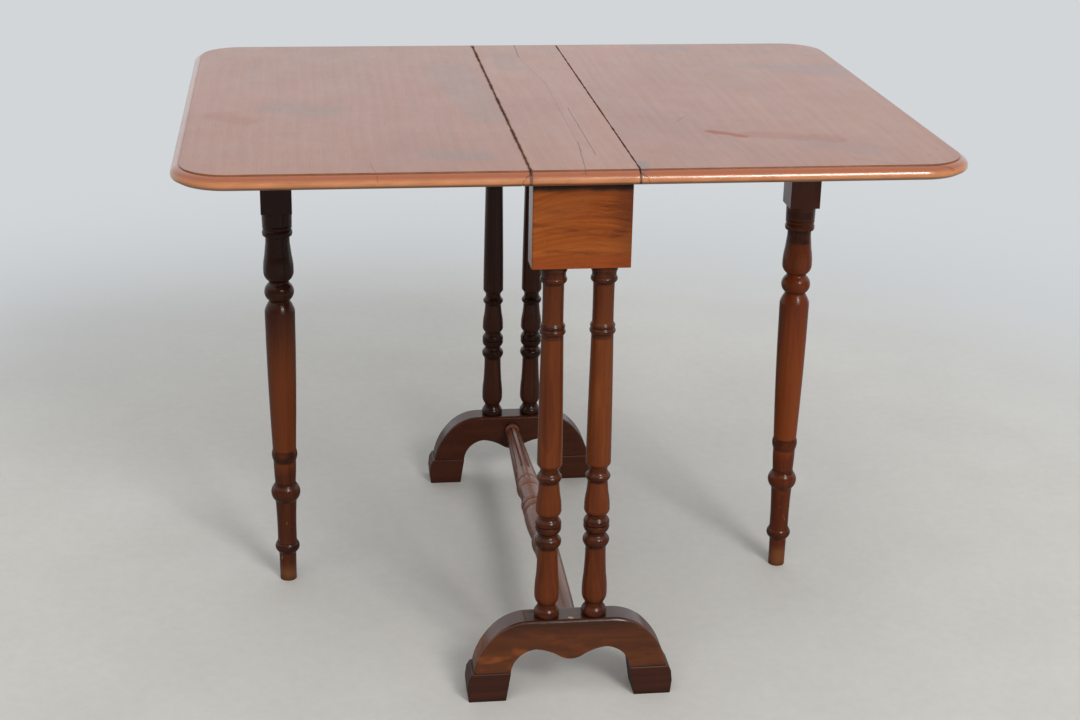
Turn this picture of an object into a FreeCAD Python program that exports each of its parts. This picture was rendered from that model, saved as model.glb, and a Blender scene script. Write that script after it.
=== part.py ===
import FreeCAD, Part
import math
import os
import Sketcher
from FreeCAD import Placement, Rotation, Vector

# Drop-leaf table with two swing-out legs (Sutherland type).
# Frame: millimetres, +Z up, origin on the floor at the middle of the table.
# X runs across the two leaves, Y along the joints. The front end is -Y.
# Rest position: both leaves up and both legs swung out under them.

doc = FreeCAD.newDocument("DropLeafTable")
sheet = doc.addObject("Spreadsheet::Sheet", "Dims")


class Size:
    """A number together with the expression that produces it from the sheet."""

    def __init__(self, value, text):
        self.value = float(value)
        self.text = text

    def _join(self, other, sign, value):
        return Size(value, "(" + self.text + " " + sign + " " + as_size(other).text + ")")

    def __add__(self, other):
        return self._join(other, "+", self.value + as_size(other).value)

    def __sub__(self, other):
        return self._join(other, "-", self.value - as_size(other).value)

    def __mul__(self, other):
        return self._join(other, "*", self.value * as_size(other).value)

    def __truediv__(self, other):
        return self._join(other, "/", self.value / as_size(other).value)

    def __radd__(self, other):
        return as_size(other) + self

    def __rsub__(self, other):
        return as_size(other) - self

    def __rmul__(self, other):
        return as_size(other) * self

    def __neg__(self):
        return as_size(0) - self


def as_size(x):
    if isinstance(x, Size):
        return x
    return Size(x, repr(float(x)) if x else "0")


ZERO = as_size(0)
row_count = 0


def dim(alias, value, note):
    """Put one driving dimension in the sheet and return it as a Size."""
    global row_count
    row_count += 1
    sheet.set("A%d" % row_count, alias)
    sheet.set("B%d" % row_count, str(value))
    sheet.setAlias("B%d" % row_count, alias)
    sheet.set("C%d" % row_count, note)
    return Size(value, "Dims." + alias)


# ---------------------------------------------------------------- dimensions
table_height = dim("table_height", 710, "floor to the top face")
open_width = dim("open_width", 960, "over both raised leaves, along X")
top_length = dim("top_length", 760, "along the joints, along Y")
board_thick = dim("board_thick", 18, "top and leaves")
centre_width = dim("centre_width", 128, "fixed centre board between the joint lines")
leaf_corner = dim("leaf_corner", 68, "radius of the outer corners of a leaf")

joint_gap = dim("joint_gap", 1, "open line between the board and a leaf")
joint_lip = dim("joint_lip", 4.5, "square fillet above the quarter round")
joint_round = dim("joint_round", 10.5, "radius of the rule joint about the pin")
joint_clear = dim("joint_clear", 0.35, "play between the round and the cove")
joint_tuck = dim("joint_tuck", 0.6, "lower corner of the round drawn in, clear of the cove")

mould_width = dim("mould_width", 10.8, "moulded edge, inward from the rim")
mould_quirk = dim("mould_quirk", 1.8, "small step at the top of the moulding")
mould_drop = dim("mould_drop", 8.6, "height of the thumb round")
mould_bulge = dim("mould_bulge", 2.4, "fullness of the thumb round")
mould_nose = dim("mould_nose", 4.4, "height of the nose below the round")
mould_tuck = dim("mould_tuck", 1.5, "nose drawn in at its lower corner")
mould_hollow = dim("mould_hollow", 0.7, "fullness of the nose")
mould_under = dim("mould_under", 7, "reach of the bevel below the rim")
cut_over = dim("cut_over", 3, "how far a cut runs on past the wood")

end_overhang = dim("end_overhang", 38, "end of the top to a column line, along Y")
block_width = dim("block_width", 120, "end block, along X")
block_thick = dim("block_thick", 38, "end block, along Y")
block_drop = dim("block_drop", 106, "end block below the top board")
block_round = dim("block_round", 2, "eased upright corners of the end block")

rail_thick = dim("rail_thick", 28, "centre rail")
rail_drop = dim("rail_drop", 92, "depth of the rails")
rail_under = dim("rail_under", 1, "moving rail below the top board")
tenon_thick = dim("tenon_thick", 10, "rail tenons")
tenon_inset = dim("tenon_inset", 12, "rail tenon shoulder, top and bottom")
tenon_long = dim("tenon_long", 18, "rail tenons")

fly_thick = dim("fly_thick", 20, "fly rail and knuckle rail")
pivot_x = dim("pivot_x", 48, "gate pin from the middle, along X")
pivot_y = dim("pivot_y", 20.5, "gate pin from the middle, along Y")
knuckle_gap = dim("knuckle_gap", 0.4, "gap round a knuckle")
knuckle_slip = dim("knuckle_slip", 0.25, "gap above and below a knuckle")
gate_pin_radius = dim("gate_pin_radius", 3, "steel gate pin")
pin_play = dim("pin_play", 0.05, "radial play of a turning pin")
gate_reach = dim("gate_reach", 315.5, "gate pin to the middle of the leg")
packing_long = dim("packing_long", 96, "packing block, along Y")

glue_block = dim("glue_block", 20, "section of a glue block")
glue_edge = dim("glue_edge", 3, "blunt edges of a glue block")
glue_long = dim("glue_long", 62, "glue block, along Y")
glue_near = dim("glue_near", 40, "first glue block from the middle")
glue_far = dim("glue_far", 176, "second glue block from the middle")

leg_square = dim("leg_square", 42, "square head of a leg")
leg_under = dim("leg_under", 0.3, "leg head below the leaf")
leg_head = dim("leg_head", 134, "length of the square head")

foot_thick = dim("foot_thick", 39, "arched foot, along Y")
foot_height = dim("foot_height", 112, "floor to the flat of the foot")
foot_flat = dim("foot_flat", 54, "half length of the flat on the foot")
foot_brow = dim("foot_brow", 6.2, "fullness of the curve beside the flat")
foot_hip_x = dim("foot_hip_x", 103, "turn of the outer curve from the middle")
foot_hip_z = dim("foot_hip_z", 88.5, "turn of the outer curve above the floor")
foot_flank = dim("foot_flank", 3.9, "fullness of the curve down to the toe")
foot_span = dim("foot_span", 126, "half width of the foot above the toe")
foot_inner = dim("foot_inner", 78, "half width of the arch above the toe")
foot_edge = dim("foot_edge", 5, "rounding of the upper edges of the foot")
arch_top_x = dim("arch_top_x", 46, "crown of each half arch from the middle")
arch_top_z = dim("arch_top_z", 72.5, "crown of each half arch above the floor")
arch_side = dim("arch_side", 8.4, "height of the arc beside a toe")
arch_slope = dim("arch_slope", 2.2, "height of the arc toward the middle")
drop_half = dim("drop_half", 14, "half width of the rounded middle drop")
drop_z = dim("drop_z", 60.5, "start of the rounded middle drop above the floor")
drop_bulge = dim("drop_bulge", 3.8, "depth of the rounded middle drop")
toe_height = dim("toe_height", 40, "toe block")
toe_over = dim("toe_over", 2, "toe block proud of the foot, along Y")
toe_inner = dim("toe_inner", 84, "inner side of the toe block at the floor")
toe_outer = dim("toe_outer", 132.5, "outer side of the toe block at the floor")
toe_belly_x = dim("toe_belly_x", 134.2, "widest place of the toe from the middle")
toe_belly_z = dim("toe_belly_z", 18, "widest place of the toe above the floor")
toe_brow_x = dim("toe_brow_x", 132.6, "top of the toe's outer side from the middle")
toe_brow_z = dim("toe_brow_z", 32, "top of the toe's outer side above the floor")
toe_ledge = dim("toe_ledge", 2.2, "width of the ledge at the top of the toe")
toe_round = dim("toe_round", 1.9, "rounding of the toe block")

column_x = dim("column_x", 30.8, "column from the middle, along X")
dowel_radius = dim("dowel_radius", 8, "turned tenon of a column")
dowel_long = dim("dowel_long", 25, "turned tenon of a column")

stretcher_z = dim("stretcher_z", 89, "height of the stretcher")
stretcher_tenon = dim("stretcher_tenon", 8, "tenon radius of the stretcher")
stretcher_seat = dim("stretcher_seat", 20, "tenon length of the stretcher")
reed_count = 10
reed_from = dim("reed_from", 14, "flutes start this far from the back foot")
reed_to = dim("reed_to", 126, "flutes run out here, from the middle")
reed_full = dim("reed_full", 152, "flutes are widest here, from the middle")
reed_thin_r = dim("reed_thin_r", 8.9, "bottom of a flute at its thin end")
reed_thin_w = dim("reed_thin_w", 2.1, "half width of the cutter at the thin end")
reed_full_r = dim("reed_full_r", 13.4, "bottom of a flute where it is widest")
reed_full_w = dim("reed_full_w", 3.6, "half width of the cutter where it is widest")
reed_out_r = dim("reed_out_r", 17.6, "cutter leaves the wood")
reed_deep = dim("reed_deep", 3.4, "height of the cutter")

hinge_inset = dim("hinge_inset", 118, "end of the top to an outer hinge, along Y")
hinge_wide = dim("hinge_wide", 32, "hinge, along the joint")
hinge_short = dim("hinge_short", 26, "plate on the centre board")
hinge_long = dim("hinge_long", 46, "plate on the leaf")
hinge_plate = dim("hinge_plate", 1.6, "plate thickness")
hinge_knuckle = dim("hinge_knuckle", 3, "radius of the hinge knuckle")
hinge_mid = dim("hinge_mid", 12, "length of the middle knuckle")
hinge_pin = dim("hinge_pin", 1.25, "radius of the hinge pin")
hinge_slip = dim("hinge_slip", 0.2, "gap between knuckles")
hinge_room = dim("hinge_room", 0.5, "room cut in the wood round the knuckle")
hinge_side = dim("hinge_side", 0.15, "play beside a hinge in its seat")
strap_room = dim("strap_room", 0.9, "room under the board for the lifted strap")

# ------------------------------------------------------------ derived sizes
under_top = table_height - board_thick
half_board = centre_width / 2
leaf_width = open_width / 2 - half_board
half_length = top_length / 2
frame_half = half_length - end_overhang
hinge_y = half_length - hinge_inset
pin_up = board_thick - joint_lip - joint_round
rail_bottom = under_top - rail_drop
block_bottom = under_top - block_drop
inner_face = frame_half - block_thick / 2
column_length = block_bottom - foot_height
leg_offset = (leg_square - fly_thick) / 2

bodies = []


# ------------------------------------------------------------------ helpers
def new_body(label, x=ZERO, y=ZERO, z=ZERO, turn=0.0, axis=Vector(0, 0, 1)):
    """A body placed by the sheet; turn is in degrees about axis."""
    body = doc.addObject("PartDesign::Body", label)
    body.Label = label
    x, y, z = as_size(x), as_size(y), as_size(z)
    body.Placement = Placement(Vector(x.value, y.value, z.value), Rotation(axis, turn))
    body.setExpression("Placement.Base.x", x.text)
    body.setExpression("Placement.Base.y", y.text)
    body.setExpression("Placement.Base.z", z.text)
    bodies.append(body)
    return body


def new_sketch(body, name, plane, offset=None):
    """A sketch on one of the body's own origin planes, moved along its normal."""
    sketch = body.newObject("Sketcher::SketchObject", body.Label + "_" + name)
    for feature in body.Origin.OriginFeatures:
        if feature.Role == plane:
            sketch.AttachmentSupport = [(feature, "")]
    sketch.MapMode = "FlatFace"
    if offset is not None:
        sketch.AttachmentOffset = Placement(Vector(0, 0, offset.value), Rotation())
        sketch.setExpression("AttachmentOffset.Base.z", offset.text)
    return sketch


def hold_point(geo, pos, x, y):
    """Pairs (constraint, size) that fix one point of a sketch at (x, y)."""
    held = []
    for kind, axis, value in (("DistanceX", -2, x), ("DistanceY", -1, y)):
        if value.text == "0":
            held.append((Sketcher.Constraint("PointOnObject", geo, pos, axis), None))
        else:
            held.append((Sketcher.Constraint(kind, -1, 1, geo, pos, value.value), value))
    return held


def constrain(sketch, pairs):
    """Add the constraints of all pairs, then bind their sizes to the sheet."""
    first = sketch.ConstraintCount
    sketch.addConstraint([constraint for constraint, size in pairs])
    for index, (constraint, size) in enumerate(pairs, first):
        if size is not None:
            sketch.setExpression("Constraints[%d]" % index, size.text)


def outline(sketch, corners, closed=True):
    """Lines and arcs through corners (x, y) or (x, y, bulge).

    The bulge is the height of the arc that leads on to the next corner. It is
    positive to the right of the way of travel: outward, going anticlockwise.
    """
    corners = [tuple(as_size(v) for v in c) for c in corners]
    count = len(corners) if closed else len(corners) - 1
    first = sketch.GeometryCount
    ends = []
    pairs = []
    for i in range(count):
        a = corners[i]
        b = corners[(i + 1) % len(corners)]
        start = Vector(a[0].value, a[1].value, 0)
        stop = Vector(b[0].value, b[1].value, 0)
        if len(a) == 3 and a[2].value:
            chord = stop - start
            side = Vector(chord.y, -chord.x, 0).normalize()
            middle = (start + stop) * 0.5 + side * a[2].value
            geo = sketch.addGeometry(Part.Arc(start, middle, stop), False)
            begins = sketch.getPoint(geo, 1).distanceToPoint(start) < 1e-6
            ends.append((1, 2) if begins else (2, 1))
            dx, dy, high = b[0] - a[0], b[1] - a[1], a[2]
            size = ((dx * dx + dy * dy) / 4 + high * high) / (high * 2)
            if high.value < 0:
                size = -size
            pairs.append((Sketcher.Constraint("Radius", geo, size.value), size))
        else:
            geo = sketch.addGeometry(Part.LineSegment(start, stop), False)
            ends.append((1, 2))
    for i in range(count):
        pairs += hold_point(first + i, ends[i][0], corners[i][0], corners[i][1])
        if closed or i + 1 < count:
            j = (i + 1) % count
            meet = Sketcher.Constraint(
                "Coincident", first + i, ends[i][1], first + j, ends[j][0]
            )
            pairs.append((meet, None))
    if not closed:
        last = corners[-1]
        pairs += hold_point(first + count - 1, ends[-1][1], last[0], last[1])
    constrain(sketch, pairs)
    return sketch


def circles(sketch, spots):
    """Circles (x, y, radius)."""
    pairs = []
    for x, y, radius in spots:
        x, y, radius = as_size(x), as_size(y), as_size(radius)
        geo = sketch.addGeometry(
            Part.Circle(Vector(x.value, y.value, 0), Vector(0, 0, 1), radius.value), False
        )
        pairs += hold_point(geo, 3, x, y)
        pairs.append((Sketcher.Constraint("Radius", geo, radius.value), radius))
    constrain(sketch, pairs)
    return sketch


def rectangle(sketch, x0, x1, y0, y1):
    return outline(sketch, [(x0, y0), (x1, y0), (x1, y1), (x0, y1)])


def pad(body, sketch, length, middle=False, back=False):
    feature = body.newObject("PartDesign::Pad", sketch.Name + "_pad")
    feature.Profile = sketch
    feature.Length = length.value
    feature.setExpression("Length", length.text)
    feature.Midplane = middle
    feature.Reversed = back
    return feature


def pocket(body, sketch, length=None, middle=False, back=False):
    feature = body.newObject("PartDesign::Pocket", sketch.Name + "_cut")
    feature.Profile = sketch
    if length is None:
        feature.Type = "ThroughAll"
    else:
        feature.Length = length.value
        feature.setExpression("Length", length.text)
    feature.Midplane = middle
    feature.Reversed = back
    return feature


def turn_solid(body, profile, name="profile", most=12, fewest=4):
    """Revolve a profile of (radius, height, bulge) about the body's Z axis.

    A long profile is turned in lengths of at most so many points; each length
    starts on the last point of the one before.
    """
    start = 0
    while start + 1 < len(profile):
        stop = start + most
        if stop + fewest > len(profile):
            stop = len(profile)
        part = list(profile[start:stop])
        part[-1] = part[-1][:2]
        corners = [(ZERO, part[0][1])] + part + [(ZERO, part[-1][1])]
        sketch = new_sketch(body, "%s_%d" % (name, start), "XZ_Plane")
        outline(sketch, corners)
        feature = body.newObject("PartDesign::Revolution", sketch.Name + "_turned")
        feature.Profile = sketch
        feature.ReferenceAxis = (sketch, ["V_Axis"])
        feature.Angle = 360
        start = stop - 1


def turned(prefix, rows, base=ZERO, sign=1):
    """Turned features as named sizes: (name, radius, distance, fullness).

    The distance is measured from base, upward or (sign = -1) downward.
    """
    spots = []
    for row in rows:
        name = prefix + "_" + row[0]
        radius = dim(name + "_r", row[1], "radius")
        along = dim(name + "_z", row[2], "distance") if row[2] else ZERO
        spot = (radius, base + along if sign > 0 else base - along)
        if len(row) == 4:
            spot += (dim(name + "_f", row[3], "fullness of the curve that follows"),)
        spots.append(spot)
    return spots


def cut_box(body, name, x0, x1, y0, y1, z0, z1):
    """Cut a box out of the body."""
    sketch = new_sketch(body, name, "XY_Plane", as_size(z0))
    rectangle(sketch, x0, x1, y0, y1)
    return pocket(body, sketch, as_size(z1) - z0, back=True)


def add_box(body, name, x0, x1, y0, y1, z0, z1):
    sketch = new_sketch(body, name, "XY_Plane", as_size(z0))
    rectangle(sketch, x0, x1, y0, y1)
    return pad(body, sketch, as_size(z1) - z0)


def edges_where(shape, test):
    """Names of the edges whose middle point passes the test."""
    names = []
    for number, edge in enumerate(shape.Edges, 1):
        if test(edge.valueAt((edge.FirstParameter + edge.LastParameter) / 2), edge):
            names.append("Edge%d" % number)
    return names


# --------------------------------------------------------------- top boards
def moulding(rim, inward):
    """Section of the wood removed outside the thumb moulding at a rim.

    rim is the coordinate of the rim and inward is +1 or -1 along that axis.
    """
    top = board_thick
    shoulder = top - mould_quirk
    nose = shoulder - mould_drop
    bevel = nose - mould_nose
    side = 1 if inward > 0 else -1
    spots = [
        (rim - cut_over * inward, -cut_over),
        (rim + mould_under * inward, -cut_over),
        (rim + mould_under * inward, ZERO),
        (rim + mould_tuck * inward, bevel, -mould_hollow * side),
        (rim, nose, -mould_bulge * side),
        (rim + mould_width * inward, shoulder),
        (rim + mould_width * inward, top + cut_over),
        (rim - cut_over * inward, top + cut_over),
    ]
    return spots


top_board = new_body("top_board", z=under_top)
section = new_sketch(top_board, "section", "XZ_Plane")
round_bulge = joint_round * (1 - math.sqrt(0.5))
outline(
    section,
    [
        (-(half_board + joint_round - joint_tuck), ZERO),
        (half_board + joint_round - joint_tuck, ZERO),
        (half_board + joint_round, pin_up, round_bulge),
        (half_board, pin_up + joint_round),
        (half_board, board_thick),
        (-half_board, board_thick),
        (-half_board, pin_up + joint_round, round_bulge),
        (-(half_board + joint_round), pin_up),
    ],
)
pad(top_board, section, top_length, middle=True)
end_cut = new_sketch(top_board, "end_moulding", "YZ_Plane")
outline(end_cut, moulding(-half_length, 1))
outline(end_cut, moulding(half_length, -1))
pocket(top_board, end_cut, (half_board + joint_round + cut_over) * 2, middle=True)

hinge_places = [("front", -hinge_y), ("middle", ZERO), ("back", hinge_y)]
half_hinge = hinge_wide / 2
for place, y in hinge_places:
    for side, s in (("left", -1), ("right", 1)):
        low, high = y - half_hinge - hinge_side, y + half_hinge + hinge_side
        spans = [
            ("plate", half_board - hinge_short, half_board, hinge_plate),
            (
                "knuckle",
                half_board - hinge_knuckle - hinge_room,
                half_board + hinge_knuckle + hinge_room,
                pin_up + hinge_knuckle + hinge_room,
            ),
            (
                "strap",
                half_board,
                half_board + joint_round + cut_over,
                hinge_plate + strap_room,
            ),
        ]
        for what, near, far, deep in spans:
            x0, x1 = (near, far) if s > 0 else (-far, -near)
            name = "seat_%s_%s_%s" % (what, side, place)
            sketch = new_sketch(top_board, name, "XY_Plane")
            rectangle(sketch, x0, x1, low, high)
            pocket(top_board, sketch, deep, back=True)


def make_leaf(label, side):
    """A leaf, drawn outward along +X from its joint pin; side turns it round."""
    turn = 0 if side > 0 else 180
    leaf = new_body(label, x=half_board * side, z=under_top, turn=turn)
    plan = new_sketch(leaf, "plan", "XY_Plane")
    corner_bulge = leaf_corner * (1 - math.sqrt(0.5))
    outline(
        plan,
        [
            (joint_gap, -half_length),
            (leaf_width - leaf_corner, -half_length, corner_bulge),
            (leaf_width, -half_length + leaf_corner),
            (leaf_width, half_length - leaf_corner, corner_bulge),
            (leaf_width - leaf_corner, half_length),
            (joint_gap, half_length),
        ],
    )
    pad(leaf, plan, board_thick)
    cove = new_sketch(leaf, "cove", "XZ_Plane")
    reach = joint_round + joint_clear
    outline(
        cove,
        [
            (-cut_over, -cut_over),
            (reach, -cut_over),
            (reach, pin_up, reach * (1 - math.sqrt(0.5))),
            (ZERO, pin_up + reach),
            (-cut_over, pin_up + reach),
        ],
    )
    pocket(leaf, cove, top_length + cut_over * 2, middle=True)
    for place, y in hinge_places:
        seat = new_sketch(leaf, "strap_" + place, "XY_Plane")
        low, high = y - half_hinge - hinge_side, y + half_hinge + hinge_side
        rectangle(seat, ZERO, hinge_long, low, high)
        pocket(leaf, seat, hinge_plate, back=True)
    rim = new_sketch(leaf, "rim", "XY_Plane")
    outline(
        rim,
        [
            (-cut_over, -half_length),
            (leaf_width - leaf_corner, -half_length, corner_bulge),
            (leaf_width, -half_length + leaf_corner),
            (leaf_width, half_length - leaf_corner, corner_bulge),
            (leaf_width - leaf_corner, half_length),
            (-cut_over, half_length),
        ],
        closed=False,
    )
    knife = new_sketch(leaf, "knife", "YZ_Plane", -cut_over)
    outline(knife, moulding(-half_length, 1))
    doc.recompute()
    sweep = leaf.newObject("PartDesign::SubtractivePipe", label + "_moulding")
    sweep.Profile = knife
    sweep.Spine = (rim, ["Edge%d" % n for n in range(1, 6)])
    return leaf


leaf_left = make_leaf("leaf_left", -1)
leaf_right = make_leaf("leaf_right", 1)


# ------------------------------------------------------- rule-joint hinges
def make_hinge_half(label, side, y, moving):
    """One half of a rule-joint hinge about the pin at x = 0, z = pin_up."""
    turn = 0 if side > 0 else 180
    body = new_body(label, x=half_board * side, y=y, z=under_top, turn=turn)
    mid = hinge_mid / 2
    neck = hinge_knuckle + hinge_room
    plate = new_sketch(body, "plate", "XY_Plane")
    if moving:
        outline(
            plate,
            [
                (ZERO, -mid),
                (neck, -mid),
                (neck, -half_hinge),
                (hinge_long, -half_hinge),
                (hinge_long, half_hinge),
                (neck, half_hinge),
                (neck, mid),
                (ZERO, mid),
            ],
        )
    else:
        gap = mid + hinge_slip
        outline(
            plate,
            [
                (-hinge_short, -half_hinge),
                (ZERO, -half_hinge),
                (ZERO, -gap),
                (-neck, -gap),
                (-neck, gap),
                (ZERO, gap),
                (ZERO, half_hinge),
                (-hinge_short, half_hinge),
            ],
        )
    pad(body, plate, hinge_plate)
    if moving:
        barrel = new_sketch(body, "barrel", "XZ_Plane")
        circles(barrel, [(ZERO, pin_up, hinge_knuckle)])
        pad(body, barrel, hinge_mid, middle=True)
    else:
        length = half_hinge - mid - hinge_slip
        barrel = new_sketch(body, "barrel_a", "XZ_Plane", mid + hinge_slip)
        circles(barrel, [(ZERO, pin_up, hinge_knuckle)])
        pad(body, barrel, length)
        barrel = new_sketch(body, "barrel_b", "XZ_Plane", -half_hinge)
        circles(barrel, [(ZERO, pin_up, hinge_knuckle)])
        pad(body, barrel, length)
    bore = new_sketch(body, "bore", "XZ_Plane")
    circles(bore, [(ZERO, pin_up, hinge_pin + pin_play)])
    pocket(body, bore, hinge_wide + cut_over * 2, middle=True)
    return body


for place, y in hinge_places:
    for side, s in (("left", -1), ("right", 1)):
        make_hinge_half("hinge_fixed_%s_%s" % (side, place), s, y, False)
        make_hinge_half("hinge_strap_%s_%s" % (side, place), s, y, True)


# ---------------------------------------------------------- frame under top
def make_end_block(label, side):
    """Thick block across the frame that the columns and rails tenon into."""
    turn = 0 if side > 0 else 180
    body = new_body(label, y=frame_half * side, z=block_bottom, turn=turn)
    plan = new_sketch(body, "plan", "XY_Plane")
    half_w, half_t = block_width / 2, block_thick / 2
    rectangle(plan, -half_w, half_w, -half_t, half_t)
    base = pad(body, plan, block_drop)
    doc.recompute()
    ease = body.newObject("PartDesign::Fillet", label + "_ease")
    uprights = edges_where(
        base.Shape, lambda p, e: abs(p.z - block_drop.value / 2) < 1e-3
    )
    ease.Base = (base, uprights)
    ease.Radius = block_round.value
    ease.setExpression("Radius", block_round.text)
    holes = new_sketch(body, "column_seats", "XY_Plane")
    circles(holes, [(-column_x, ZERO, dowel_radius), (column_x, ZERO, dowel_radius)])
    pocket(body, holes, dowel_long, back=True)
    # the inner face is at local -Y; the rails' tenons enter there
    top = block_drop
    low = top - rail_drop + tenon_inset
    half = tenon_thick / 2
    cut_box(
        body, "rail_mortise", -half, half, -half_t, -half_t + tenon_long,
        low, top - tenon_inset,
    )
    # the knuckle rail meets the front block on the right and the back on the left
    cut_box(
        body, "knuckle_mortise", -pivot_x - half, -pivot_x + half, -half_t,
        -half_t + tenon_long, low, top - tenon_inset,
    )
    return body


make_end_block("end_block_front", -1)
make_end_block("end_block_back", 1)

centre_rail = new_body("centre_rail", z=rail_bottom)
half_rail = rail_thick / 2
add_box(
    centre_rail, "board", -half_rail, half_rail, -inner_face, inner_face, ZERO, rail_drop
)
tongue = new_sketch(centre_rail, "tongue", "YZ_Plane")
reach_y = inner_face + tenon_long
rectangle(tongue, -reach_y, reach_y, tenon_inset, rail_drop - tenon_inset)
pad(centre_rail, tongue, tenon_thick, middle=True)

levels = 5
fly_top = rail_drop - rail_under
step = rail_drop / levels


def make_knuckle_rail(label, side):
    """Fixed rail drawn from the gate pin along -Y, with three knuckles."""
    turn = 0 if side > 0 else 180
    body = new_body(
        label, x=pivot_x * side, y=-pivot_y * side, z=rail_bottom, turn=turn
    )
    half = fly_thick / 2
    far = -(inner_face - pivot_y)
    plan = new_sketch(body, "plan", "XY_Plane")
    outline(
        plan,
        [
            (-half, far),
            (half, far),
            (half, ZERO, half * 0.998),
            (-half, ZERO),
        ],
    )
    pad(body, plan, rail_drop)
    tongue = new_sketch(body, "tongue", "XY_Plane", tenon_inset)
    thick = tenon_thick / 2
    rectangle(tongue, -thick, thick, far - tenon_long, far)
    pad(body, tongue, rail_drop - tenon_inset * 2)
    shoulder = -(half + knuckle_gap)
    for level in (1, 3):
        cut_box(
            body, "slot_%d" % level, -half - cut_over, half + cut_over, shoulder,
            half + cut_over, step * level, step * (level + 1),
        )
    bore = new_sketch(body, "bore", "XY_Plane")
    circles(bore, [(ZERO, ZERO, gate_pin_radius)])
    pocket(body, bore, rail_drop + cut_over, back=True)
    return body


def make_fly_rail(label, side):
    """Swinging rail drawn from the gate pin along +X, with two knuckles."""
    turn = 0 if side > 0 else 180
    body = new_body(
        label, x=pivot_x * side, y=-pivot_y * side, z=rail_bottom, turn=turn
    )
    half = fly_thick / 2
    shoulder = half + knuckle_gap
    end = gate_reach - leg_square / 2
    add_box(body, "board", shoulder, end, -half, half, ZERO, fly_top)
    for level in (1, 3):
        low = step * level + knuckle_slip
        knuckle = new_sketch(body, "knuckle_%d" % level, "XY_Plane", low)
        outline(
            knuckle,
            [
                (ZERO, -half),
                (shoulder + knuckle_gap, -half),
                (shoulder + knuckle_gap, half),
                (ZERO, half, half * 0.998),
            ],
        )
        pad(body, knuckle, step - knuckle_slip * 2)
    thick = tenon_thick / 2
    add_box(
        body, "tongue", end, end + tenon_long, -thick, thick, tenon_inset,
        fly_top - tenon_inset,
    )
    bore = new_sketch(body, "bore", "XY_Plane")
    circles(bore, [(ZERO, ZERO, gate_pin_radius + pin_play)])
    pocket(body, bore, rail_drop + cut_over, back=True)
    return body


def make_packing(label, side):
    """Block that carries the knuckle rail off the centre rail."""
    turn = 0 if side > 0 else 180
    body = new_body(label, z=rail_bottom, turn=turn)
    start = -(pivot_y + fly_thick)
    add_box(
        body, "block", half_rail, pivot_x - fly_thick / 2, start - packing_long, start,
        ZERO, rail_drop,
    )
    return body


def make_glue_block(label, side, start):
    """Three-cornered block glued between the centre rail and the top board."""
    turn = 0 if side > 0 else 180
    body = new_body(label, z=under_top, turn=turn)
    section = new_sketch(body, "section", "XZ_Plane", -(start + glue_long))
    outline(
        section,
        [
            (half_rail, -glue_block),
            (half_rail + glue_edge, -glue_block),
            (half_rail + glue_block, -glue_edge),
            (half_rail + glue_block, ZERO),
            (half_rail, ZERO),
        ],
    )
    pad(body, section, glue_long)
    return body


for side, s in (("left", -1), ("right", 1)):
    make_knuckle_rail("knuckle_rail_" + side, s)
    make_fly_rail("fly_rail_" + side, s)
    make_packing("packing_block_" + side, s)
    make_glue_block("glue_block_%s_near" % side, s, glue_near)
    make_glue_block("glue_block_%s_far" % side, s, glue_far)
    pin = new_body(
        "gate_pin_" + side, x=pivot_x * s, y=-pivot_y * s, z=rail_bottom
    )
    rod = new_sketch(pin, "rod", "XY_Plane")
    circles(rod, [(ZERO, ZERO, gate_pin_radius)])
    pad(pin, rod, rail_drop - knuckle_slip)


# ------------------------------------------------------------------ columns
column_low = [
    ("foot_ring", 15.4, 0, 1.45),
    ("foot_ring_top", 14.8, 10, -0.45),
    ("foot_neck", 11.7, 16.6),
    ("pear_start", 11.8, 18, 1.1),
    ("pear", 16.2, 30, 0.55),
    ("pear_side", 14.5, 58, -0.25),
    ("pear_top", 12.95, 96),
    ("ring_start", 14.8, 100, 0.5),
    ("ring", 17, 105.5, 0.8),
    ("ring_top", 14.6, 112, -0.4),
    ("neck_a", 12.2, 115.5),
    ("bead_start", 12.5, 117.5, 1.6),
    ("bead", 16.4, 128),
    ("bead_line", 14.9, 128.8),
    ("bead_next", 16.4, 129.6, 0.9),
    ("bead_top", 14.6, 136.6, -0.3),
    ("neck_b", 12.4, 140.6),
    ("urn_start", 12.6, 142.4, 1.5),
    ("urn", 16.2, 152, 0.55),
    ("urn_side", 14.2, 172, -0.2),
    ("urn_top", 12.6, 189),
    ("sharp_start", 13.2, 189.8, 0.5),
    ("sharp", 16, 195.2, 0.35),
    ("sharp_top", 13.9, 199, -0.3),
    ("neck_c", 11.7, 203.2),
    ("neck_d", 11.7, 206, -0.3),
    ("shaft_lip", 14.8, 211.2, 0.35),
    ("shaft", 15.9, 214.6, 0.2),
]
column_high = [
    ("shaft_end", 13.7, 93),
    ("pair_step", 13.7, 89),
    ("pair_low", 14.4, 88, 1.5),
    ("pair_low_top", 14.9, 81.6),
    ("pair_line", 14.5, 80.8),
    ("pair_high", 14.9, 80, 0.8),
    ("pair_high_top", 14.5, 75.6),
    ("neck_e", 13.1, 73.4, -0.15),
    ("neck_f", 13.1, 24),
    ("collar", 14.5, 21.6, 1.7),
    ("collar_top", 15.2, 15, -0.9),
    ("cap", 16.5, 6),
    ("cap_top", 16.5, 0),
]
low_part = turned("col", column_low)
high_part = turned("col", column_high, column_length, -1)
column_profile = [(dowel_radius, -dowel_long), (dowel_radius, ZERO)]
column_profile += low_part + high_part
column_profile.append((dowel_radius, column_length))
column_profile.append((dowel_radius, column_length + dowel_long))


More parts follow.
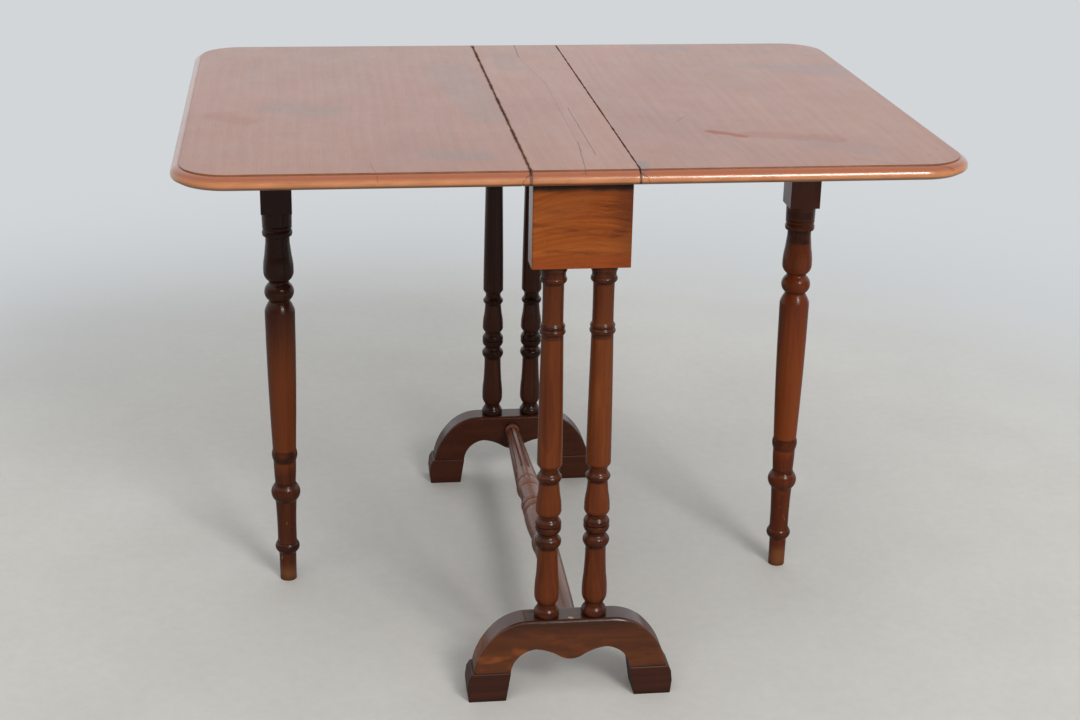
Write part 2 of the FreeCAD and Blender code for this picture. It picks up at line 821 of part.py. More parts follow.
for end, e in (("front", -1), ("back", 1)):
    for side, s in (("left", -1), ("right", 1)):
        column = new_body(
            "column_%s_%s" % (end, side),
            x=column_x * s,
            y=frame_half * e,
            z=foot_height,
        )
        turn_solid(column, column_profile)


# --------------------------------------------------------------------- legs
leg_low = [
    ("peg", 11.9, 0),
    ("peg_top", 12.3, 42),
    ("ankle", 14.6, 45.4, 2.7),
    ("ankle_top", 15, 58.5, -0.3),
    ("shin", 13.6, 64, -0.5),
    ("shin_top", 15, 125),
    ("ball", 16.6, 127.5, 4.2),
    ("ball_top", 16.6, 149.5, -0.3),
    ("calf", 14.7, 154.5, 0.3),
    ("calf_top", 16, 187),
    ("knee", 16.6, 189.6, 1.5),
    ("knee_top", 16.8, 204.6),
    ("shaft", 16.6, 206.8, 0.9),
]
leg_high = [
    ("shoulder", 20.9, 152),
    ("shoulder_top", 20.9, 142.6, 0.6),
    ("neck_a", 14.5, 129.4),
    ("neck_b", 14.5, 128),
    ("roll", 15.8, 126.6, 4.3),
    ("roll_top", 16.5, 105.3, -0.3),
    ("neck_c", 13.7, 101.8),
    ("urn_start", 13.9, 99.8, 2),
    ("urn", 20.9, 86, 0.7),
    ("urn_side", 18.7, 62.5),
    ("neck_d", 16.6, 43.5),
    ("neck_e", 16.6, 36),
    ("ring", 20, 34.2, 0.8),
    ("ring_top", 20, 26.9),
    ("line", 19.1, 25.2),
    ("fillet", 19.6, 24.2, 0.8),
    ("fillet_top", 19.6, 19.6),
    ("drum", 20.3, 18.8),
]
leg_neck = under_top - leg_under - leg_head
leg_profile = turned("leg", leg_low) + turned("leg", leg_high, leg_neck, -1)
leg_profile.append((leg_square / 2 - leg_under, leg_neck + leg_under))


def make_leg(label, side):
    turn = 0 if side > 0 else 180
    body = new_body(
        label,
        x=(pivot_x + gate_reach) * side,
        y=(leg_offset - pivot_y) * side,
        turn=turn,
    )
    turn_solid(body, leg_profile)
    half = leg_square / 2
    top = under_top - leg_under
    head = new_sketch(body, "head", "XY_Plane", top - leg_head)
    rectangle(head, -half, half, -half, half)
    pad(body, head, leg_head)
    # mortise for the fly rail, which is flush with the face at local -Y
    low = rail_bottom + tenon_inset
    high = rail_bottom + fly_top - tenon_inset
    thick = tenon_thick / 2
    cut_box(
        body, "mortise", -half, -half + tenon_long, -leg_offset - thick,
        -leg_offset + thick, low, high,
    )
    return body


make_leg("leg_left", -1)
make_leg("leg_right", 1)


# --------------------------------------------------------------------- feet
def make_foot(label, side):
    """Arched foot with a pointed middle, drawn as its front outline."""
    turn = 0 if side > 0 else 180
    body = new_body(label, y=frame_half * side, turn=turn)
    face = new_sketch(body, "face", "XZ_Plane")
    outline(
        face,
        [
            (foot_inner, toe_height),
            (foot_span, toe_height, foot_flank),
            (foot_hip_x, foot_hip_z, foot_brow),
            (foot_flat, foot_height),
            (-foot_flat, foot_height, foot_brow),
            (-foot_hip_x, foot_hip_z, foot_flank),
            (-foot_span, toe_height),
            (-foot_inner, toe_height, -arch_side),
            (-arch_top_x, arch_top_z, -arch_slope),
            (-drop_half, drop_z, drop_bulge),
            (drop_half, drop_z, -arch_slope),
            (arch_top_x, arch_top_z, -arch_side),
        ],
    )
    base = pad(body, face, foot_thick, middle=True)
    doc.recompute()
    soft = body.newObject("PartDesign::Fillet", label + "_edge")
    half = foot_thick.value / 2
    low_x = foot_span.value - (foot_span.value - foot_inner.value) / 2

    def upper(point, edge):
        on_face = abs(abs(point.y) - half) < 1e-3
        above = point.z > foot_hip_z.value
        beside = abs(point.x) > low_x and point.z > toe_height.value + 1e-3
        return on_face and (above or beside)

    soft.Base = (base, edges_where(base.Shape, upper))
    soft.Radius = foot_edge.value
    soft.setExpression("Radius", foot_edge.text)
    seats = new_sketch(body, "column_seats", "XY_Plane", foot_height)
    circles(seats, [(-column_x, ZERO, dowel_radius), (column_x, ZERO, dowel_radius)])
    pocket(body, seats, dowel_long)
    # the stretcher enters the inner face, at local -Y
    seat = new_sketch(body, "stretcher_seat", "XZ_Plane", foot_thick / 2)
    circles(seat, [(ZERO, stretcher_z, stretcher_tenon)])
    pocket(body, seat, stretcher_seat)
    return body


def make_toe(label, side, y):
    """Toe block under one end of a foot, with a rounded ledge round the foot."""
    turn = 0 if side > 0 else 180
    body = new_body(label, y=y, turn=turn)
    face = new_sketch(body, "face", "XZ_Plane")
    outline(
        face,
        [
            (toe_inner, ZERO),
            (toe_outer, ZERO),
            (toe_belly_x, toe_belly_z),
            (toe_brow_x, toe_brow_z),
            (foot_span + toe_ledge, toe_height),
            (foot_inner, toe_height),
        ],
    )
    base = pad(body, face, foot_thick + toe_over * 2, middle=True)
    doc.recompute()
    soft = body.newObject("PartDesign::Fillet", label + "_edge")
    half = foot_thick.value / 2 + toe_over.value

    def rounded(point, edge):
        on_face = abs(abs(point.y) - half) < 1e-3
        outer = point.x > foot_span.value and point.z > 1e-3
        top = point.z > toe_height.value - 1e-3
        return outer or (on_face and top)

    soft.Base = (base, edges_where(base.Shape, rounded))
    soft.Radius = toe_round.value
    soft.setExpression("Radius", toe_round.text)
    return body


for end, e in (("front", -1), ("back", 1)):
    make_foot("foot_" + end, e)
    for side, s in (("left", -1), ("right", 1)):
        make_toe("toe_block_%s_%s" % (end, side), s, frame_half * e)


# ---------------------------------------------------------------- stretcher
# distances from the middle of the table: toward the front foot, then the back
stretcher_front = [
    ("front_end", 13.6, 112, 0.5),
    ("front_fat", 16.9, 112),
    ("front_line", 16, 110),
    ("front_ring", 17, 107.4, 1.7),
    ("front_ring_top", 17, 78.4),
    ("vase_neck", 15.4, 75.5, 1.2),
    ("vase_fat", 19, 8, 0.3),
]
stretcher_back = [
    ("vase_top", 17.8, 3),
    ("vase_line", 16.2, 4.4),
    ("pair_line", 16.2, 7.4),
    ("pair_a", 17.3, 8.8, 1.2),
    ("pair_a_top", 17.3, 24),
    ("pair_groove", 16.3, 25.4),
    ("pair_b", 17.5, 26.8, 1.2),
    ("pair_b_top", 17.5, 42),
    ("drum", 15.9, 44.4, -0.35),
    ("drum_top", 16.4, 79.4),
    ("ring", 17.3, 81.4, 1.5),
    ("ring_top", 17.3, 106.6),
    ("ring_line", 16, 108.4),
]
stretcher_taper = [
    ("fat", 17, 111, 0.25),
    ("fat_end", 17, 122, 0.3),
]


def make_stretcher():
    """Turned stretcher between the feet; the back taper is fluted."""
    body = new_body("stretcher", z=stretcher_z, turn=-90, axis=Vector(1, 0, 0))
    reach = frame_half - foot_thick / 2
    ends = reach + stretcher_seat
    front = turned("str", stretcher_front, ZERO, -1)
    front[0] = (front[0][0], -reach, front[0][2])
    thin = dim("str_thin_r", 10, "radius of the thin end of the fluted taper")
    collar = dim("str_collar_r", 11.6, "radius of the collar at the back foot")
    collar_long = dim("str_collar_z", 9, "length of the collar at the back foot")
    taper = turned("str", stretcher_taper)
    taper += [
        (thin, reach - collar_long),
        (collar, reach - collar_long * 0.7),
        (collar, reach),
        (stretcher_tenon, reach),
        (stretcher_tenon, ends),
    ]
    turn_solid(body, taper, "taper")
    # one flute, cut by a triangle that grows toward the thick end and lifts out
    stations = [
        ("thin", reach - reed_from, reed_thin_r, reed_thin_w),
        ("full", reed_full, reed_full_r, reed_full_w),
        ("out", reed_to, reed_out_r, reed_full_w),
    ]
    knives = []
    for name, along, radius, half in stations:
        knife = new_sketch(body, "flute_" + name, "XY_Plane", along)
        outline(knife, [(radius, ZERO), (radius + reed_deep, -half), (radius + reed_deep, half)])
        knives.append(knife)
    flute = body.newObject("PartDesign::SubtractiveLoft", "flute")
    flute.Profile = knives[0]
    flute.Sections = knives[1:]
    flute.Ruled = True
    doc.recompute()
    pattern = body.newObject("PartDesign::PolarPattern", "flutes")
    pattern.Originals = [flute]
    pattern.Axis = (knives[0], ["N_Axis"])
    pattern.Angle = 360
    pattern.Occurrences = reed_count
    body.Tip = pattern
    profile = [(stretcher_tenon, -ends), (stretcher_tenon, -reach)]
    profile += front + turned("str", stretcher_back) + taper[:1]
    turn_solid(body, profile)
    return body


make_stretcher()

# --------------------------------------------------------------- hinge pins
doc.recompute()
rods = []
for place, y in hinge_places:
    for s in (-1, 1):
        start = Vector(half_board.value * s, y.value - half_hinge.value, 0)
        start.z = under_top.value + pin_up.value
        rods.append(
            Part.makeCylinder(hinge_pin.value, hinge_wide.value, start, Vector(0, 1, 0))
        )
pins = doc.addObject("Part::Feature", "hinge_pins")
pins.Label = "hinge_pins"
pins.Shape = Part.makeCompound(rods)
bodies.append(pins)

# ------------------------------------------------------------ check, export
doc.recompute()
bad = []
for thing in doc.Objects:
    if "Invalid" in thing.State or "Error" in thing.State:
        bad.append("%s: %s" % (thing.Name, thing.State))
for body in bodies:
    if body.Shape.isNull() or not body.Shape.isValid():
        bad.append(body.Label + ": no valid shape")
if bad:
    raise RuntimeError("; ".join(bad))

os.makedirs("parts", exist_ok=True)
for body in bodies:
    body.Shape.exportStep("parts/" + body.Label + ".step")
    sizes = [round(solid.Volume, 1) for solid in body.Shape.Solids]
    print(body.Label, sizes)
print(len(bodies), "nodes")
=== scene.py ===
import math
import random

import bmesh
import bpy
from mathutils import Matrix, Vector


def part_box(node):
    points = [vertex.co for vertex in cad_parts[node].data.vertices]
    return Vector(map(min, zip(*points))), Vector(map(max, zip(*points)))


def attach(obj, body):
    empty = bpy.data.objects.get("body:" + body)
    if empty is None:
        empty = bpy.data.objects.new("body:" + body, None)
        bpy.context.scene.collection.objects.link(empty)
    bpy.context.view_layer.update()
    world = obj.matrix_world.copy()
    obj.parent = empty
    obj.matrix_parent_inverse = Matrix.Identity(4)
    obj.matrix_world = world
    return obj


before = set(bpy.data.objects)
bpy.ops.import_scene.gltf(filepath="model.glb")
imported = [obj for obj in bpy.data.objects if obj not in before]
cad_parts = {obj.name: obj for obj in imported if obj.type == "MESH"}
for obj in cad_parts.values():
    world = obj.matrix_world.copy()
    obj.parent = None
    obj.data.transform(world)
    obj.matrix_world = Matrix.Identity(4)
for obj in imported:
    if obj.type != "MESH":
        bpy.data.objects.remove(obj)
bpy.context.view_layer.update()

random.seed(7)
scene = bpy.context.scene
scene.view_settings.view_transform = "Standard"
SIDES = (("left", -1), ("right", 1))

# ------------------------------------------------------------------- camera
# Fitted to points measured in the photo. Lengths are metres, angles radians.
PHOTO_WIDTH = 1080
FOCAL_PIXELS = 1848.2
EYE = Vector((-0.32658, -2.43534, 1.26437))
YAW = 0.13352
PITCH = 0.36232
ROLL = 0.01941
SENSOR_WIDTH = 36
CLIP_END = 100


def camera_turn():
    """The camera's turn, from its yaw, pitch and roll."""
    forward = Vector(
        (math.sin(YAW) * math.cos(PITCH), math.cos(YAW) * math.cos(PITCH), -math.sin(PITCH))
    )
    level = Vector((math.cos(YAW), -math.sin(YAW), 0))
    upward = level.cross(forward)
    right = level * math.cos(ROLL) + upward * math.sin(ROLL)
    top = upward * math.cos(ROLL) - level * math.sin(ROLL)
    return Matrix((right, top, -forward)).transposed().to_4x4()


def add_camera():
    camera = bpy.data.objects.new("camera", bpy.data.cameras.new("camera"))
    scene.collection.objects.link(camera)
    camera.data.sensor_fit = "HORIZONTAL"
    camera.data.sensor_width = SENSOR_WIDTH
    camera.data.lens = FOCAL_PIXELS / PHOTO_WIDTH * SENSOR_WIDTH
    camera.data.clip_end = CLIP_END
    camera.matrix_world = Matrix.Translation(EYE) @ camera_turn()
    scene.camera = camera


add_camera()


# --------------------------------------------------------------- node tools
def srgb(red, green, blue):
    """Linear colour from sRGB 0-255."""
    out = []
    for v in (red, green, blue):
        v /= 255
        out.append(v / 12.92 if v <= 0.04045 else ((v + 0.055) / 1.055) ** 2.4)
    return tuple(out)


def darker(colour, share):
    """A share of a linear colour's light."""
    return tuple(v * share for v in colour)


class Tree:
    """Short calls for building the nodes of one material or of the world."""

    LINE_CORE = 0.35    # share of a mark's width that has its full strength

    def __init__(self, owner):
        owner.use_nodes = True
        self.owner = owner
        self.tree = owner.node_tree
        self.tree.nodes.clear()

    def node(self, kind, inputs=None, **props):
        made = self.tree.nodes.new("ShaderNode" + kind)
        for key, value in props.items():
            setattr(made, key, value)
        for key, value in (inputs or {}).items():
            self.feed(made.inputs[key], value)
        return made

    def feed(self, socket, value):
        """Link a socket or a node's first output, or set a plain value."""
        if isinstance(value, bpy.types.NodeSocket):
            self.tree.links.new(value, socket)
        elif isinstance(value, bpy.types.Node):
            self.tree.links.new(value.outputs[0], socket)
        else:
            socket.default_value = value

    def math(self, operation, a, b=0.0):
        return self.node("Math", {0: a, 1: b}, operation=operation).outputs[0]

    def add(self, a, b):
        return self.math("ADD", a, b)

    def both(self, a, b):
        return self.math("MULTIPLY", a, b)

    def most(self, highest, *others):
        for other in others:
            highest = self.math("MAXIMUM", highest, other)
        return highest

    def blend(self, factor, a, b):
        """Number a turned to b by factor."""
        return self.node("Mix", {0: factor, 2: a, 3: b}).outputs[0]

    def mix(self, factor, a, b):
        """Colour a turned to b by factor. A plain colour is (red, green, blue)."""
        made = self.node("Mix", data_type="RGBA")
        for place, value in ((0, factor), (6, a), (7, b)):
            self.feed(made.inputs[place], (*value, 1) if isinstance(value, tuple) else value)
        return made.outputs[2]

    def spread(self, value, low, high, out_low=0.0, out_high=1.0, kind="LINEAR"):
        """low to high carried over to out_low to out_high, and held beyond them."""
        made = self.node(
            "MapRange",
            {"Value": value, "From Min": low, "From Max": high,
             "To Min": out_low, "To Max": out_high},
            interpolation_type=kind,
        )
        return made.outputs[0]

    def ease(self, *values):
        """As spread, along a soft S curve."""
        return self.spread(*values, kind="SMOOTHSTEP")

    def ramp(self, factor, stops):
        made = self.node("ValToRGB", {"Fac": factor})
        points = made.color_ramp.elements
        while len(points) < len(stops):
            points.new(0.5)
        for point, (place, colour) in zip(points, stops):
            point.position = place
            point.color = (*colour, 1)
        return made.outputs["Color"]

    def noise(self, place, scale, detail=2.0, rough=0.5):
        """Noise with scale waves per metre."""
        made = self.node(
            "TexNoise",
            {"Vector": place, "Scale": scale, "Detail": detail, "Roughness": rough},
        )
        return made.outputs["Fac"]

    def grain(self, place, sizes, detail=2.0, rough=0.5, shift=(0, 0, 0)):
        """Noise with its own number of waves per metre in each direction."""
        moved = self.node("Mapping", {"Vector": place, "Scale": sizes, "Location": shift})
        return self.noise(moved, 1.0, detail, rough)

    def vector(self, operation, a, b):
        return self.node("VectorMath", {0: a, 1: b}, operation=operation).outputs["Vector"]

    def measure(self, operation, a, b=(0, 0, 0)):
        """The single number that a vector operation gives."""
        return self.node("VectorMath", {0: a, 1: b}, operation=operation).outputs["Value"]

    def split(self, vector):
        return self.node("SeparateXYZ", {0: vector}).outputs

    def joined(self, x=0.0, y=0.0, z=0.0):
        return self.node("CombineXYZ", {0: x, 1: y, 2: z}).outputs[0]

    def warped(self, place, scale, reach):
        """The place moved about by up to reach, in soft swirls of size 1/scale."""
        swirl = self.node("TexNoise", {"Vector": place, "Scale": scale, "Detail": 2.0})
        off = self.vector("SUBTRACT", swirl.outputs["Color"], (0.5, 0.5, 0.5))
        off = self.vector("MULTIPLY", off, (reach * 2, reach * 2, reach * 2))
        return self.vector("ADD", place, off)

    def near_line(self, place, start, end, wide):
        """1 on the line from start to end as seen from above, 0 a width away."""
        run = Vector((*end, 0)) - Vector((*start, 0))
        off = self.vector("SUBTRACT", place, (*start, 0))
        off = self.vector("MULTIPLY", off, (1, 1, 0))
        share = self.measure("DOT_PRODUCT", off, tuple(run / run.length_squared))
        share = self.math("MINIMUM", self.most(share, 0.0), 1.0)
        foot = self.node("VectorMath", {0: tuple(run), "Scale": share}, operation="SCALE")
        away = self.measure("DISTANCE", off, foot)
        return self.ease(away, wide * self.LINE_CORE, wide, 1.0, 0.0)


# --------------------------------------------------------------------- wood
# noise layers of the wood: waves per metre across, into and along the grain
DRIFT_ACROSS = dict(sizes=(1.5, 1.5, 1.1))
DRIFT_DEEP = dict(sizes=(2.0, 2.0, 1.6), shift=(5, 3, 1))
WOBBLE = dict(sizes=(30, 30, 3), detail=3)
FIBRE = dict(sizes=(420, 420, 9), detail=4, rough=0.65)
STREAK = dict(sizes=(110, 110, 2.5), detail=3, rough=0.6, shift=(9, 1, 2))
PORE = dict(sizes=(1500, 1500, 55))
MOTTLE = dict(sizes=(9, 9, 4), detail=3, rough=0.55, shift=(2, 7, 4))
CLOUD = dict(sizes=(3.2, 3.2, 1.9), shift=(1, 2, 8))
STAIN = dict(sizes=(40, 40, 25), detail=3)
SCUFF = dict(sizes=(14, 14, 9), detail=5, rough=0.7, shift=(4, 4, 4))
SCRATCHES = dict(sizes=(900, 60, 25), shift=(3, 1, 7))
WAVE = dict(sizes=(22, 22, 10), detail=1, shift=(6, 6, 1))

# how much the rings and each layer move the tone
RING_SHARE = 0.26
FIBRE_SHARE = 0.30
STREAK_SHARE = 0.50
MOTTLE_SHARE = 0.45
CLOUD_SHARE = 0.50
PORE_SHARE = 0.35

# lengths, metres
PITH_DRIFT = (0.06, 0.03)
HOLLOW_REACH = 0.014
CREASE_REACH = 0.004
EDGE_RADIUS = 0.0007
FINE_RELIEF = 0.0004
WAVE_RELIEF = 0.004

PORE_DARK = 0.35
WOOD_IOR = 1.5
COAT_ROUGH = 0.14
COAT_HOLDS = 0.1    # dullness up to which the coat is whole
COAT_GONE = 0.4     # dullness from which there is none


def along_grain(t, place, axis, shift, bend, swirl):
    """The place with its parts across, into and along the grain, arched and swirled."""
    x, y, z = t.split(place)
    across, deep, along = {"X": (y, z, x), "Y": (x, z, y), "Z": (x, y, z)}[axis]
    arch = t.both(t.both(along, along), bend)
    local = t.vector("ADD", t.joined(across, deep, along), t.joined(y=arch))
    return t.warped(t.vector("ADD", local, shift), 9.0, swirl)


def growth_rings(t, local, pith, rings):
    """0 to 1 across each growth ring, round a pith that wanders."""
    offs = []
    parts = zip(t.split(local), pith, (DRIFT_ACROSS, DRIFT_DEEP), PITH_DRIFT)
    for part, middle, layer, drift in parts:
        wander = t.spread(t.grain(local, **layer), 0, 1, -drift, drift)
        offs.append(t.add(t.math("SUBTRACT", part, middle), wander))
    reach = t.measure("LENGTH", t.joined(*offs))
    phase = t.add(t.both(reach, rings), t.both(t.grain(local, **WOBBLE), 0.9))
    saw = t.math("FRACT", phase)
    return t.both(t.ease(saw, 0.0, 0.85), t.ease(saw, 0.9, 1.0, 1.0, 0.0))


def wood_tone(t, local, ring, fibre, contrast):
    """0 for the darkest wood of a board and 1 for its lightest."""
    tone = t.both(ring, RING_SHARE * contrast)
    layers = (
        (fibre, FIBRE_SHARE),
        (t.grain(local, **STREAK), STREAK_SHARE),
        (t.grain(local, **MOTTLE), MOTTLE_SHARE),
        (t.grain(local, **CLOUD), CLOUD_SHARE),
    )
    for layer, share in layers:
        tone = t.add(tone, t.both(t.spread(layer, 0.3, 0.7), share * contrast))
    return t.add(tone, 0.5 - contrast)


def painted_shade_and_dirt(t, local, shade_and_dirt):
    """Darker in the hollows and, more, in the creases: old polish and dirt, with painted shade.
    """
    hollow = t.node("AmbientOcclusion", {"Distance": HOLLOW_REACH}, samples=8).outputs["AO"]
    hollow = t.ease(hollow, 0.35, 0.95, shade_and_dirt, 0.0)
    crease = t.node("AmbientOcclusion", {"Distance": CREASE_REACH}, samples=6).outputs["AO"]
    crease = t.ease(crease, 0.4, 0.95, min(1.0, shade_and_dirt * 1.3), 0.0)
    patchy = t.spread(t.grain(local, **STAIN), 0.3, 0.6, 0.6, 1.0)
    return t.both(t.most(hollow, crease), patchy)


def wood_roughness(t, local, rough, scratch, darkened, dull):
    """Roughness of a polish that hands, scratches and dirt have dulled, also where shade is
    painted in the hollows.
    """
    out = t.spread(t.grain(local, **SCUFF), 0.25, 0.75, rough - 0.04, rough + 0.07)
    out = t.add(out, t.both(scratch, 0.12))
    out = t.add(out, t.both(darkened, 0.2))
    return t.add(out, dull)


def wood_relief(t, local, pore, fibre, scratch):
    """Pores, fibres and scratches on softened edges, over the long wave of hand work."""
    height = t.add(t.both(pore, -0.6), t.both(fibre, 0.35))
    height = t.add(height, t.both(scratch, -0.3))
    soft = t.node("Bevel", {"Radius": EDGE_RADIUS}, samples=4)
    fine = t.node(
        "Bump",
        {"Height": height, "Strength": 0.25, "Distance": FINE_RELIEF, "Normal": soft},
    )
    wave = t.grain(local, **WAVE)
    return t.node(
        "Bump",
        {"Height": wave, "Strength": 0.20, "Distance": WAVE_RELIEF, "Normal": fine},
    )


def wood(
    name,
    axis,
    tones,
    shift=(0.0, 0.0, 0.0),
    pith=(0.05, -0.12),
    rings=90.0,
    contrast=0.5,
    rough=0.34,
    coat=0.0,
    specular=0.3,
    shade_and_dirt=0.6,
    shade_and_dirt_light=0.18,
    bend=0.0,
    swirl=0.004,
    finish=None,
):
    """Polished mahogany: rings, fibres, pores, mottling, worn edges, and dirt with painted shade
    in the hollows.

    axis is the way the grain runs, and tones are its dark, middle and light colour.
    pith is where the rings' middle lies, across and into the grain, and rings is how
    many there are to a metre. bend arches the grain. shade_and_dirt is how much dirt
    and painted shade lie in the hollows and creases, and shade_and_dirt_light how light
    their colour is. finish adds what one piece has of its own, and says how much duller
    than the rest each place is.
    """
    t = Tree(bpy.data.materials.new(name))
    place = t.node("TexCoord").outputs["Object"]
    local = along_grain(t, place, axis, shift, bend, swirl)
    dark, middle, light = tones

    ring = growth_rings(t, local, pith, rings)
    fibre = t.grain(local, **FIBRE)
    pore = t.ease(t.grain(local, **PORE), 0.60, 0.72)
    scratch = t.ease(t.grain(local, **SCRATCHES), 0.68, 0.74)
    tone = wood_tone(t, local, ring, fibre, contrast)
    colour = t.ramp(tone, [(0.0, dark), (0.5, middle), (1.0, light)])
    colour = t.mix(t.both(pore, PORE_SHARE), colour, darker(dark, PORE_DARK))

    dull = 0.0
    if finish:
        colour, dull = finish(t, place, colour)
    if coat:
        coat = t.spread(dull, COAT_HOLDS, COAT_GONE, coat, 0.0)
    # dirt and painted shade: darker in the hollows and creases, found by ambient occlusion
    darkened = painted_shade_and_dirt(t, local, shade_and_dirt)
    colour = t.mix(darkened, colour, darker(dark, shade_and_dirt_light))

    shader = t.node(
        "BsdfPrincipled",
        {"Base Color": colour,
         "Roughness": wood_roughness(t, local, rough, scratch, darkened, dull),
         "Normal": wood_relief(t, local, pore, fibre, scratch),
         "IOR": WOOD_IOR, "Specular IOR Level": specular,
         "Coat Weight": coat, "Coat Roughness": COAT_ROUGH},
    )
    t.node("OutputMaterial", {0: shader})
    return t.owner


# --------------------------------------------------- wear and painted light of the single pieces
# places on the model, metres
JOINT_X = 0.0645        # rule joints, either side of the middle
JOINT_DIRT = (0.0008, 0.0018)
LEFT_JOINT_EXTRA = 0.0012
UNDER_TOP = 0.692
BLOCK_FOOT = 0.586
FOOT_Y = -0.342
FOOT_BARE_LINE = ((-0.001, FOOT_Y - 0.010), (0.002, FOOT_Y - 0.012))
FOOT_BARE_WIDTH = 0.0032
COLUMN_BEADS = (
    (0.112, 0.130), (0.210, 0.253), (0.300, 0.318), (0.493, 0.512), (0.562, 0.586),
)
LEG_BEADS = (
    (0.044, 0.060), (0.149, 0.156), (0.187, 0.205),
    (0.505, 0.526), (0.541, 0.552), (0.612, 0.634),
)

# heights between which each kind of wear and of painted light sets in: where there is none,
# where it is full
QUIRK_WALL = (0.7082, 0.7085)       # the small wall round the flat of the top
UNDERSIDE = (UNDER_TOP + 0.006, UNDER_TOP + 0.004)
# band of the top's painted shadow on the end block
BLOCK_SHADOW_BAND = (UNDER_TOP - 0.013, UNDER_TOP - 0.006)
BLOCK_CLEAN_LOW = (BLOCK_FOOT + 0.019, BLOCK_FOOT + 0.015)
# painted shade near the top of the column, under the end block
COLUMN_SHADE_TOP = (0.47, 0.53)
# where the leg's orange middle lies, which is partly painted light
LEG_WARM_FOOT = (0.17, 0.20)
LEG_WARM_HEAD = (0.42, 0.30)
LEG_DARK_FOOT = (0.19, 0.165)
LEG_CHIPPED = (0.16, 0.06)
LEG_PEG_WORN = (0.03, 0.012)
FOOT_RUBBED_LOW = (0.10, 0.06)
FOOT_DARK_EDGE = (0.094, 0.114)
FOOT_BARE_TOP = (0.104, 0.108)

# the same for places across the table
BLOCK_DARK_SIDE = (0.035, 0.07)
FOOT_RUBBED_SIDE = (0.06, -0.06)

# the same for how far a face looks up, from 1 for up to -1 for down
RIM_FACE = (0.999, 0.97)
RIM_OUTER_FACE = (0.75, 0.25)
UPPER_FACE = (0.2, 0.6)
WALL_FACE = (0.5, 0.3)
LOWER_FACE = (-0.8, -0.98)

# noise layers of the wear, in waves per metre
RIM_RUB = dict(sizes=(30, 30, 90), detail=4, rough=0.6)
UNDERSIDE_STREAK = dict(sizes=(60, 6, 60), detail=4, rough=0.6)
BLOCK_FIGURE = dict(sizes=(14, 14, 110), detail=4, rough=0.65)
BLOCK_GLOW = dict(sizes=(12, 12, 26), shift=(3, 5, 1))
FOOT_PATCH = dict(sizes=(14, 14, 30), detail=3, rough=0.6, shift=(7, 1, 2))
LEG_CHIP = dict(sizes=(190, 190, 70))

RIM_TONE = srgb(158, 82, 40)
# worn moulding, lighter where it stands out: wear and a painted highlight
RIM_WORN_AND_HIGHLIGHT = srgb(212, 140, 92)
CRACK_TONE = srgb(60, 28, 18)
SCRATCH_TONE = srgb(88, 48, 32)
DIRT_TONE = srgb(66, 28, 16)
UNDERSIDE_DARK = srgb(64, 38, 26)
UNDERSIDE_LIGHT = srgb(108, 70, 48)
GREY = srgb(112, 84, 76)
BLUISH = srgb(112, 82, 84)
INK = srgb(84, 74, 78)
RED = srgb(146, 66, 34)
BLOCK_STREAK = srgb(84, 36, 14)
BLOCK_FLANK = srgb(74, 32, 14)
BLOCK_WARM = srgb(158, 84, 33)
BLOCK_CLEAN = srgb(146, 66, 24)
BLOCK_FLECK = srgb(206, 134, 78)
# painted shadow of the top's overhang on the end block
BLOCK_PAINTED_SHADOW = srgb(34, 15, 9)
# old polish with painted shade on the beads, and painted shade near the column's top
COLUMN_OLD_POLISH_AND_SHADE = srgb(34, 14, 8)
# painted shadow of the leaf on the upper leg, old polish with painted shade on the beads, and
# darker towards the bottom
LEG_DARK_AND_PAINTED_SHADE = srgb(26, 11, 7)
# orange middle of the leg, partly painted light where light falls below the leaf's shadow
LEG_WARM_AND_LIT = srgb(148, 74, 27)
LEG_WORN = srgb(172, 116, 74)
FOOT_RUBBED = srgb(150, 80, 32)
FOOT_OLD = srgb(38, 19, 12)
FOOT_BARE = srgb(190, 150, 116)

# how strongly each mark shows, and how much of that also breaks the polish
CRACK_SHARE = 0.75
SCRATCH_SHARE = 0.4
SPOT_SHARE = 0.8
LINE_DEPTH = 0.4
RED_DEPTH = 0.6

RIM_POLISH = -0.2       # hands keep the rim brighter than the flat
WORN_DULL = 0.45


def rim_wear_and_highlight(t, place, up, colour):
    """The moulding rubbed light in patches, lighter where it stands out: wear and a painted
    highlight. Also returns where it is.
    """
    rim = t.spread(up, *RIM_FACE)
    # outer faces of the moulding painted lighter: a painted highlight over the wear
    tone = t.mix(t.ease(up, *RIM_OUTER_FACE), RIM_TONE, RIM_WORN_AND_HIGHLIGHT)
    rub = t.spread(t.grain(place, **RIM_RUB), 0.3, 0.6, 0.65, 1.0)
    return t.mix(t.both(rim, rub), colour, tone), rim


def drawn_marks(t, place, up, colour, cracks, scratches, blots, spots):
    """Marks on the upper faces. Also returns where they have broken the polish."""
    above = t.spread(up, *UPPER_FACE)
    wavy = t.warped(place, 45.0, 0.0012)
    cloudy = t.warped(place, 30.0, 0.012)
    marks = [(wavy, *line, CRACK_TONE, CRACK_SHARE, LINE_DEPTH) for line in cracks]
    marks += [(wavy, *line, SCRATCH_TONE, SCRATCH_SHARE, LINE_DEPTH) for line in scratches]
    marks += [(cloudy, *blot, RED_DEPTH if RED in blot else 0.0) for blot in blots]
    marks += [
        (wavy, (x, y), (x + 0.001, y), wide, CRACK_TONE, SPOT_SHARE, 0.0)
        for (x, y), wide in spots
    ]
    broken = 0.0
    for path, start, end, wide, tone, share, depth in marks:
        mark = t.both(t.near_line(path, start, end, wide), above)
        colour = t.mix(t.both(mark, share), colour, tone)
        if depth:
            broken = t.most(broken, t.both(mark, share * depth))
    return colour, broken


